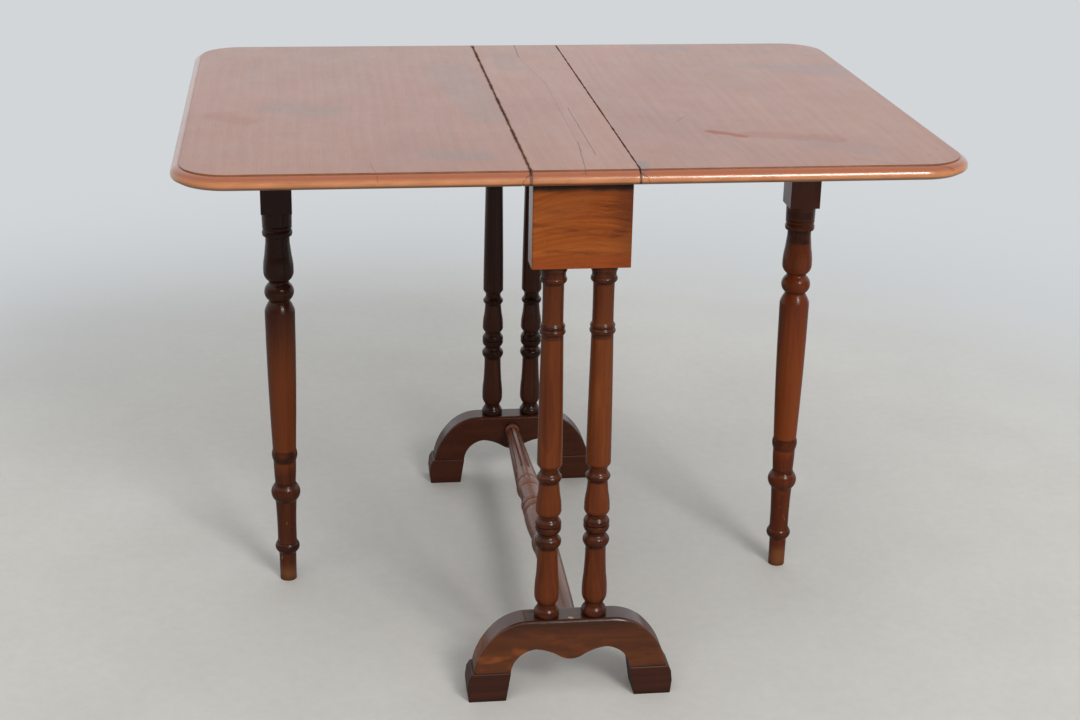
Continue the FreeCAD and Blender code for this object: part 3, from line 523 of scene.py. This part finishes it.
def joint_dirt(t, place, up):
    """Where dirt lies: on the wall under the flat and, wider on the left, in the joints."""
    x, _, z = t.split(place)
    patchy = t.spread(t.noise(place, 70.0, 3), 0.3, 0.6, 0.55, 1.0)
    wall = t.both(t.spread(up, *WALL_FACE, 0.0, 0.5), t.spread(z, *QUIRK_WALL))
    away = t.math("SUBTRACT", t.math("ABSOLUTE", x), JOINT_X)
    left = t.math("LESS_THAN", x, 0.0)
    reach = t.add(t.both(left, LEFT_JOINT_EXTRA), t.spread(patchy, 0.55, 1.0, *JOINT_DIRT))
    joint = t.ease(t.math("DIVIDE", t.math("ABSOLUTE", away), reach), 0.5, 1.2, 1.0, 0.0)
    return t.both(t.most(wall, joint), patchy)


def bare_underside(t, place, up, colour):
    """The underside, which was never polished. Also returns where it is."""
    z = t.split(place)[2]
    under = t.both(t.spread(up, *LOWER_FACE), t.spread(z, *UNDERSIDE))
    streak = t.spread(t.grain(place, **UNDERSIDE_STREAK), 0.3, 0.7)
    bare = t.mix(streak, UNDERSIDE_DARK, UNDERSIDE_LIGHT)
    return t.mix(t.both(under, 0.85), colour, bare), under


def top_finish(cracks=(), scratches=(), blots=(), spots=()):
    """The finish of one board of the top: its rim with wear and a painted highlight, marks,
    dirty joints and underside.

    A crack or scratch is (start, end, width), a blot (start, end, width, tone, share)
    and a spot (middle, width), as seen from above.
    """

    def finish(t, place, colour):
        up = t.split(t.node("NewGeometry").outputs["True Normal"])[2]
        colour, rim = rim_wear_and_highlight(t, place, up, colour)
        colour, broken = drawn_marks(t, place, up, colour, cracks, scratches, blots, spots)
        darkened = joint_dirt(t, place, up)
        colour = t.mix(t.both(darkened, 0.85), colour, DIRT_TONE)
        colour, under = bare_underside(t, place, up, colour)
        worn = t.most(under, broken, darkened)
        return colour, t.add(t.both(rim, RIM_POLISH), t.both(worn, WORN_DULL))

    return finish


def block_finish(t, place, colour):
    """Uneven figure, a darker right side, a clean lower edge, and a painted shadow of the top
    along the upper edge.
    """
    x, _, z = t.split(place)
    streak = t.grain(t.warped(place, 30.0, 0.004), **BLOCK_FIGURE)
    colour = t.mix(t.ease(streak, 0.48, 0.7, 0.0, 0.6), colour, BLOCK_STREAK)
    flank = t.ease(t.add(x, t.both(streak, 0.02)), *BLOCK_DARK_SIDE, 0.0, 0.6)
    colour = t.mix(flank, colour, BLOCK_FLANK)
    warm = t.grain(place, **BLOCK_GLOW)
    colour = t.mix(t.ease(warm, 0.45, 0.65, 0.0, 0.45), colour, BLOCK_WARM)
    uneven = t.add(z, t.spread(t.noise(place, 35.0, 3), 0.0, 1.0, -0.004, 0.004))
    clean = t.ease(uneven, *BLOCK_CLEAN_LOW, 0.0, 0.6)
    colour = t.mix(clean, colour, BLOCK_CLEAN)
    fleck = t.ease(t.noise(place, 900.0), 0.66, 0.72, 0.0, 0.45)
    colour = t.mix(fleck, colour, BLOCK_FLECK)
    # painted shadow of the top along the block's upper edge
    under_top_shadow = t.ease(uneven, *BLOCK_SHADOW_BAND, 0.0, 0.9)
    return t.mix(under_top_shadow, colour, BLOCK_PAINTED_SHADOW), 0.0


def on_beads(t, place, beads, least, most):
    """least to most, in patches, between the heights of any bead, and 0 elsewhere."""
    z = t.split(place)[2]
    total = 0.0
    for low, high in beads:
        bead = t.both(
            t.spread(z, low - 0.002, low + 0.001),
            t.spread(z, high - 0.001, high + 0.002, 1.0, 0.0),
        )
        total = t.most(total, bead)
    patchy = t.spread(t.noise(place, 60.0, 3), 0.3, 0.65, least, most)
    return t.both(total, patchy)


def column_finish(t, place, colour):
    """Old polish and painted shade on and between the turned beads, and painted shade near the
    top, under the end block.
    """
    z = t.split(place)[2]
    beads = on_beads(t, place, COLUMN_BEADS, 0.35, 0.75)
    # painted shade near the top of the column
    high = t.ease(z, *COLUMN_SHADE_TOP, 0.0, 0.25)
    return t.mix(t.most(beads, high), colour, COLUMN_OLD_POLISH_AND_SHADE), 0.0


def leg_finish(shadow_from, shadow_full, shadow_share, lit_warmth):
    """A leg's finish: painted shade above, an orange middle that is partly painted light,
    chipped at the foot.

    The leaf's painted shadow starts at the height shadow_from and has its full
    shadow_share from shadow_full up. lit_warmth is how orange and light the middle is.
    """

    def finish(t, place, colour):
        z = t.split(place)[2]
        uneven = t.add(z, t.spread(t.noise(place, 14.0, 3), 0.0, 1.0, -0.02, 0.02))
        # orange middle, partly painted light below the leaf's painted shadow
        warm = t.ease(uneven, *LEG_WARM_HEAD, 0.0, lit_warmth)
        warm = t.both(t.spread(uneven, *LEG_WARM_FOOT), warm)
        colour = t.mix(warm, colour, LEG_WARM_AND_LIT)
        # painted shadow of the leaf on the upper leg
        high = t.ease(uneven, shadow_from, shadow_full, 0.0, shadow_share)
        # darker towards the bottom
        low = t.ease(uneven, *LEG_DARK_FOOT, 0.0, 0.35)
        # old polish and painted shade on and between the beads
        beads = on_beads(t, place, LEG_BEADS, 0.4, 0.8)
        colour = t.mix(t.most(high, low, beads), colour, LEG_DARK_AND_PAINTED_SHADE)
        worn = t.ease(uneven, *LEG_PEG_WORN, 0.0, 0.25)
        chip = t.ease(t.grain(place, **LEG_CHIP), 0.69, 0.72, 0.0, 0.8)
        chip = t.both(chip, t.ease(z, *LEG_CHIPPED))
        return t.mix(t.most(worn, chip), colour, LEG_WORN), 0.0

    return finish


def foot_finish(t, place, colour):
    """Orange where shoes have rubbed, and a bare spot between the columns."""
    x, _, z = t.split(place)
    patch = t.grain(place, **FOOT_PATCH)
    rubbed = t.ease(z, *FOOT_RUBBED_LOW, 0.2, 1.0)
    rubbed = t.both(rubbed, t.ease(patch, 0.45, 0.62, 0.1, 0.8))
    rubbed = t.both(rubbed, t.ease(x, *FOOT_RUBBED_SIDE, 0.2, 1.0))
    colour = t.mix(rubbed, colour, FOOT_RUBBED)
    edge = t.ease(t.add(z, t.both(patch, 0.01)), *FOOT_DARK_EDGE, 0.0, 0.6)
    colour = t.mix(edge, colour, FOOT_OLD)
    bare = t.near_line(t.warped(place, 80.0, 0.004), *FOOT_BARE_LINE, FOOT_BARE_WIDTH)
    bare = t.both(bare, t.spread(z, *FOOT_BARE_TOP))
    return t.mix(t.both(bare, 0.7), colour, FOOT_BARE), 0.0


# ------------------------------------------------------ materials of the nodes
TOP = dict(
    tones=(srgb(122, 64, 36), srgb(147, 83, 48), srgb(166, 102, 64)),
    rings=60.0, contrast=0.42, rough=0.36, coat=0.5, specular=0.5, shade_and_dirt=0.7, shade_and_dirt_light=0.45,
)
BLOCK = dict(
    tones=(srgb(104, 44, 12), srgb(154, 75, 22), srgb(180, 98, 34)),
    rings=150.0, contrast=0.6, rough=0.16, bend=2.5, swirl=0.0035, finish=block_finish,
)
COLUMN = dict(tones=(srgb(62, 25, 10), srgb(106, 49, 18), srgb(140, 74, 30)))
# the left leg's tones are darker than the right's: painted shade
LEFT_LEG = dict(tones=(srgb(58, 24, 11), srgb(90, 42, 20), srgb(120, 60, 29)))
RIGHT_LEG = dict(tones=(srgb(80, 31, 12), srgb(118, 52, 21), srgb(146, 72, 31)))
# darker tones that paint the shade under the top: back end, back columns and fly rails
SHADED = dict(tones=(srgb(44, 20, 11), srgb(70, 34, 19), srgb(96, 51, 28)))
# the stretcher's light, greyish tones are partly its worn, dusty wood and partly a painted sheen
STRETCHER = dict(
    tones=(srgb(76, 38, 24), srgb(122, 70, 48), srgb(150, 98, 74)), rough=0.24, specular=0.5,
)
FOOT = dict(
    tones=(srgb(49, 24, 12), srgb(81, 41, 20), srgb(118, 61, 27)),
    specular=0.5, finish=foot_finish,
)
TOE = dict(tones=(srgb(40, 20, 13), srgb(60, 31, 21), srgb(82, 42, 28)))
INNER = dict(
    tones=(srgb(84, 50, 30), srgb(118, 78, 50), srgb(146, 104, 70)), rough=0.62, specular=0.2,
)
TURNED_ROUGH = 0.18
TOE_ROUGH = 0.38
FLY_RAIL_ROUGH = 0.42
INNER_NODES = (
    "centre_rail", "knuckle_rail_left", "knuckle_rail_right",
    "packing_block_left", "packing_block_right",
    "glue_block_left_near", "glue_block_left_far",
    "glue_block_right_near", "glue_block_right_far",
)

CENTRE_MARKS = top_finish(
    cracks=[
        ((0.0003, 0.376), (-0.0031, 0.276), 0.0016),
        ((0.0236, -0.053), (0.0227, -0.303), 0.0010),
        ((0.0100, -0.240), (-0.0004, -0.376), 0.0009),
    ],
    scratches=[
        ((-0.0031, 0.276), (0.0138, 0.092), 0.0009),
        ((0.0138, 0.092), (0.0082, -0.290), 0.0009),
    ],
    blots=[((-0.03, 0.3), (-0.02, 0.2), 0.03, GREY, 0.35)],
    spots=[((-0.035, -0.15), 0.0016), ((0.04, 0.18), 0.0013)],
)
LEFT_MARKS = top_finish(
    scratches=[((-0.2485, -0.330), (-0.2419, -0.3796), 0.0012)],
    blots=[
        ((-0.352, -0.033), (-0.30, -0.06), 0.045, GREY, 0.4),
        ((-0.17, -0.294), (-0.12, -0.30), 0.03, GREY, 0.5),
        ((-0.43, -0.074), (-0.40, -0.11), 0.03, RED, 0.25),
        ((-0.12, 0.2), (-0.08, -0.1), 0.045, GREY, 0.35),
    ],
    spots=[
        ((-0.1126, 0.2437), 0.0028), ((-0.3741, -0.3453), 0.0016), ((-0.25, 0.05), 0.0012),
    ],
)
RIGHT_MARKS = top_finish(
    scratches=[
        ((0.1505, -0.1439), (0.1727, -0.106), 0.0013),
        ((0.330, -0.335), (0.384, -0.371), 0.0016),
        ((0.384, -0.3711), (0.4506, -0.370), 0.0022),
    ],
    blots=[
        ((0.1875, -0.196), (0.2224, -0.216), 0.013, RED, 0.8),
        ((0.24, -0.21), (0.33, -0.24), 0.024, RED, 0.3),
        ((0.4357, 0.1689), (0.40, 0.18), 0.05, BLUISH, 0.5),
        ((0.3697, 0.1928), (0.33, 0.20), 0.02, GREY, 0.5),
        ((0.252, 0.3307), (0.20, 0.34), 0.03, GREY, 0.45),
        ((0.30, -0.25), (0.36, -0.30), 0.035, GREY, 0.3),
        ((0.069, -0.348), (0.072, -0.366), 0.016, INK, 0.6),
    ],
    spots=[
        ((0.4469, -0.2979), 0.0028), ((0.4285, -0.3263), 0.0028), ((0.2975, -0.2495), 0.0018),
        ((0.2225, 0.0255), 0.0018), ((0.3588, 0.3115), 0.0020), ((0.0855, -0.3585), 0.0018),
    ],
)


def give(node, material):
    """Put one material on a CAD node."""
    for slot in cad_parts[node].material_slots:
        slot.material = material


def give_wood(node, axis, **look):
    """Put a wood of its own on a CAD node."""
    give(node, wood("wood_" + node, axis, **look))


def dress_top():
    give_wood("top_board", "Y", pith=(0.02, 0.55), shift=(0.3, 0.0, 0.1),
              finish=CENTRE_MARKS, **TOP)
    give_wood("leaf_left", "Y", pith=(-0.2, 0.5), shift=(1.3, 0.0, 2.1),
              finish=LEFT_MARKS, **TOP)
    give_wood("leaf_right", "Y", pith=(0.34, 0.5), shift=(4.3, 0.0, 5.1),
              finish=RIGHT_MARKS, **TOP)


def dress_turned():
    looks = {
        "column_front_left": dict(COLUMN, finish=column_finish),
        "column_front_right": dict(COLUMN, finish=column_finish),
        "column_back_left": dict(SHADED, finish=column_finish),
        "column_back_right": dict(SHADED, finish=column_finish),
        # the left leg's painted shadow starts lower and is deeper, and its middle is less lit
        "leg_left": dict(LEFT_LEG, finish=leg_finish(0.34, 0.47, 0.72, 0.25)),
        "leg_right": dict(RIGHT_LEG, finish=leg_finish(0.48, 0.52, 0.35, 0.35)),
    }
    for i, (node, look) in enumerate(looks.items()):
        shift = (0.9 * i, 1.7 * i, 0.37 * i)
        give_wood(node, "Z", shift=shift, rough=TURNED_ROUGH, **look)
    give_wood("stretcher", "Y", shift=(2.9, 0.7, 0.4), **STRETCHER)


def dress_ends():
    """The end blocks, feet and toe blocks. The photo's far end is darker."""
    # the back end takes the SHADED tones: painted shade
    ends = (("front", FOOT, TOE), ("back", SHADED, SHADED))
    for i, (end, foot, toe) in enumerate(ends):
        give_wood("end_block_" + end, "X", shift=(0.0, 0.3, 0.9 * i),
                  pith=(0.72 * i - 0.36, -0.3), **BLOCK)
        give_wood("foot_" + end, "X", shift=(0.4 * i, 0.2, 3.1), rough=TURNED_ROUGH,
                  contrast=0.32, swirl=0.012, **foot)
        for j, (side, _) in enumerate(SIDES):
            give_wood("toe_block_%s_%s" % (end, side), "X", shift=(i, j, 0.7),
                      rough=TOE_ROUGH, **toe)


def dress_inside():
    for i, node in enumerate(INNER_NODES):
        give_wood(node, "Y", shift=(i, 2 * i, 0.5), **INNER)
    for i, (side, _) in enumerate(SIDES):
        give_wood("fly_rail_" + side, "X", shift=(i, 1.2, 0.1), rough=FLY_RAIL_ROUGH, **SHADED)


def metal(name, base, tarnish, rough):
    """Old metal with tarnish in patches and fine file marks."""
    t = Tree(bpy.data.materials.new(name))
    place = t.node("TexCoord").outputs["Object"]
    patch = t.noise(place, 130.0, 4, 0.6)
    filed = t.grain(place, (2500, 160, 900))
    bump = t.node("Bump", {"Height": filed, "Strength": 0.2, "Distance": 0.0002})
    shader = t.node(
        "BsdfPrincipled",
        {"Base Color": t.mix(t.ease(patch, 0.35, 0.62), base, tarnish),
         "Roughness": t.spread(patch, 0.3, 0.7, rough, rough + 0.25),
         "Normal": bump, "Metallic": 1.0},
    )
    t.node("OutputMaterial", {0: shader})
    return t.owner


dress_top()
dress_turned()
dress_ends()
dress_inside()
brass = metal("brass_old", srgb(150, 118, 66), srgb(84, 62, 34), 0.32)
steel = metal("steel_old", srgb(120, 116, 110), srgb(70, 58, 48), 0.38)
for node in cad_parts:
    if node.startswith(("hinge_fixed", "hinge_strap")):
        give(node, brass)
    if node.startswith(("gate_pin", "hinge_pins")):
        give(node, steel)

# ------------------------------------------------------------------- screws
SCREW_RADIUS = 0.0032
SCREW_PROUD = 0.0004
SCREW_SLOT = 0.0005     # half the slot's width
SCREW_STEPS = 14        # round each half of the head
# the head's rows from the top down: share of the radius, share of the height
SCREW_ROWS = ((0.45, 1.0), (0.8, 0.85), (1.0, 0.3), (1.0, -0.5))
# x and y from the middle of a hinge
PLATE_SCREWS = ((0.045, -0.009), (0.045, 0.009))
STRAP_SCREWS = ((0.079, -0.009), (0.079, 0.009), (0.102, 0.0))
# from the ends and edges of a packing block
RAIL_SCREW_END = 0.02
RAIL_SCREW_EDGE = 0.024
DOWN = (0, 0, -1)


def half_row(mesh, radius, height, turn, place):
    """One row of points round half a screw head, from slot to slot."""
    edge = math.asin(SCREW_SLOT / radius)
    row = []
    for k in range(SCREW_STEPS + 1):
        angle = edge + (math.pi - 2 * edge) * k / SCREW_STEPS
        spot = Vector((radius * math.cos(angle), radius * math.sin(angle), height))
        row.append(mesh.verts.new(Vector(place) + turn @ spot))
    return row


def add_screw(mesh, place, out, spin):
    """One slotted, slightly domed screw head, standing on a face."""
    aim_out = Vector(out).to_track_quat("Z", "Y").to_matrix()
    for half_turn in (0, math.pi):
        turn = aim_out @ Matrix.Rotation(spin, 3, "Z") @ Matrix.Rotation(half_turn, 3, "Z")
        rows = [
            half_row(mesh, SCREW_RADIUS * share, SCREW_PROUD * height, turn, place)
            for share, height in SCREW_ROWS
        ]
        for upper, lower in zip(rows, rows[1:]):
            for k in range(SCREW_STEPS):
                mesh.faces.new((upper[k], lower[k], lower[k + 1], upper[k + 1]))
        mesh.faces.new(rows[0])
        mesh.faces.new([row[0] for row in rows][::-1] + [row[-1] for row in rows])


def add_screws(name, body, material, heads):
    """A set of screw heads, each (place, way out, turn of the slot)."""
    mesh = bmesh.new()
    for place, out, spin in heads:
        add_screw(mesh, place, out, spin)
    bmesh.ops.recalc_face_normals(mesh, faces=mesh.faces)
    data = bpy.data.meshes.new(name)
    mesh.to_mesh(data)
    mesh.free()
    data.materials.append(material)
    piece = bpy.data.objects.new(name, data)
    scene.collection.objects.link(piece)
    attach(piece, body)


def any_turn():
    """How far a screw happened to be driven round, in radians."""
    return random.uniform(0, 3)


def add_hinge_screws():
    plate_heads = []
    for side, sign in SIDES:
        strap_heads = []
        for end in ("front", "middle", "back"):
            low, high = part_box("hinge_fixed_%s_%s" % (side, end))
            middle = (low.y + high.y) / 2
            for heads, spots in ((plate_heads, PLATE_SCREWS), (strap_heads, STRAP_SCREWS)):
                for x, y in spots:
                    heads.append(((x * sign, middle + y, low.z), DOWN, any_turn()))
        add_screws("screws_leaf_" + side, "leaf_" + side, brass, strap_heads)
    add_screws("screws_hinges", "frame", brass, plate_heads)


def add_rail_screws():
    """Screws through the knuckle rails into the packing blocks behind them."""
    heads = []
    for side, sign in SIDES:
        low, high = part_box("packing_block_" + side)
        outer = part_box("knuckle_rail_" + side)[0 if sign < 0 else 1].x
        for y in (low.y + RAIL_SCREW_END, high.y - RAIL_SCREW_END):
            for z in (low.z + RAIL_SCREW_EDGE, high.z - RAIL_SCREW_EDGE):
                heads.append(((outer, y, z), (sign, 0, 0), any_turn()))
    add_screws("screws_rails", "frame", steel, heads)


add_hinge_screws()
add_rail_screws()

# -------------------------------------------------------------------- floor
FLOOR_HALF = 30.0
FLOOR_BOUNCE = 0.4      # share of its tone that rays other than the camera's meet
FLOOR_ROUGH = 0.7
# distances over which one turns into the other, metres
EVEN_FLOOR = (0.8, 2.0)
FLOOR_TO_BACKDROP = (1.2, 2.4)
MIRRORED_BEYOND = (0.0, 1.2)
FLOOR_DARK = srgb(188, 185, 178)
FLOOR_LIGHT = srgb(216, 213, 207)
FLOOR_FAR = srgb(206, 208, 209)
BACKDROP = srgb(210, 214, 217)


def floor_material():
    """Pale speckled floor that turns into an even backdrop away from the table."""
    t = Tree(bpy.data.materials.new("floor_pale"))
    place = t.node("TexCoord").outputs["Object"]
    far = t.measure("LENGTH", place)
    speck = t.add(t.both(t.noise(place, 55.0, 4, 0.7), 0.5), t.both(t.noise(place, 5.0, 4), 0.5))
    tone = t.mix(speck, FLOOR_DARK, FLOOR_LIGHT)
    tone = t.mix(t.ease(far, *EVEN_FLOOR), tone, FLOOR_FAR)
    rays = t.node("LightPath").outputs
    bounce = t.spread(rays["Is Camera Ray"], 0.0, 1.0, FLOOR_BOUNCE, 1.0)
    ground = t.node(
        "BsdfPrincipled",
        {"Base Color": t.mix(bounce, (0, 0, 0), tone), "Roughness": FLOOR_ROUGH},
    )
    # the polish mirrors the backdrop only beyond the table, where the photo has it
    mirrored = t.most(rays["Is Glossy Ray"], rays["Is Transmission Ray"])
    mirrored = t.both(mirrored, t.ease(t.split(place)[1], *MIRRORED_BEYOND))
    seen = t.most(rays["Is Camera Ray"], mirrored)
    backdrop = t.node("Emission", {"Color": (*BACKDROP, 1), "Strength": 1.0})
    share = t.both(t.ease(far, *FLOOR_TO_BACKDROP), seen)
    shader = t.node("MixShader", {0: share, 1: ground, 2: backdrop})
    # from below, the floor lets the table's underside be looked at
    below = t.node("NewGeometry").outputs["Backfacing"]
    shader = t.node("MixShader", {0: below, 1: shader, 2: t.node("BsdfTransparent")})
    t.node("OutputMaterial", {0: shader})
    return t.owner


def add_floor():
    half = FLOOR_HALF
    mesh = bpy.data.meshes.new("floor")
    corners = [(-half, -half, 0), (half, -half, 0), (half, half, 0), (-half, half, 0)]
    mesh.from_pydata(corners, [], [(0, 1, 2, 3)])
    mesh.materials.append(floor_material())
    floor = bpy.data.objects.new("floor", mesh)
    scene.collection.objects.link(floor)


add_floor()

# -------------------------------------------------------------------- light
# The sky is bright overhead and beyond the table (+Y), and dim on the near side.
SKY_TONE = (0.88, 0.91, 0.94, 1)
SKY_SEEN = 0.735                    # its level to the camera
SKY_WAY = (0.0, 0.7, 0.714)         # its brightest part, for the light that it gives
SKY_FADE = (0.1, 1.0)
SKY_LEVELS = (0.25, 0.82)
SHINE_WAY = (0.0, 0.5, 0.866)       # its brightest part, as polish mirrors it
SHINE_FADE = (-0.1, 0.55)
SHINE_LEVELS = (0.1, 0.97)
KEY_SIZE = 1.5
KEY_POWER = 150
KEY_SPOT = (1.95, -4.6, 3.85)
FILL_SPREAD = math.radians(75)
FILL_POWER = 1.3
FILL_SPOT = (-0.2, -1.7, 2.3)
TABLE_MIDDLE = (0, 0, 0.4)


def add_sky():
    scene.world = bpy.data.worlds.new("studio")
    w = Tree(scene.world)
    way = w.node("TexCoord").outputs["Generated"]
    rays = w.node("LightPath").outputs
    lit = w.ease(w.measure("DOT_PRODUCT", way, SKY_WAY), *SKY_FADE, *SKY_LEVELS)
    shine = w.ease(w.measure("DOT_PRODUCT", way, SHINE_WAY), *SHINE_FADE, *SHINE_LEVELS)
    mirrored = w.most(rays["Is Glossy Ray"], rays["Is Transmission Ray"])
    strength = w.blend(mirrored, lit, shine)
    strength = w.blend(rays["Is Camera Ray"], strength, SKY_SEEN)
    background = w.node("Background", {"Color": SKY_TONE, "Strength": strength})
    w.node("OutputWorld", {0: background})


def add_light(name, kind, power, spot):
    """A light that stands at spot and points at the table."""
    light = bpy.data.objects.new(name, bpy.data.lights.new(name, kind))
    light.data.energy = power
    light.location = spot
    away = Vector(spot) - Vector(TABLE_MIDDLE)
    light.rotation_euler = away.to_track_quat("Z", "Y").to_euler()
    scene.collection.objects.link(light)
    return light


add_sky()
key = add_light("key", "AREA", KEY_POWER, KEY_SPOT)
key.data.size = KEY_SIZE
fill = add_light("fill", "SUN", FILL_POWER, FILL_SPOT)
fill.data.angle = FILL_SPREAD
fill.visible_glossy = False
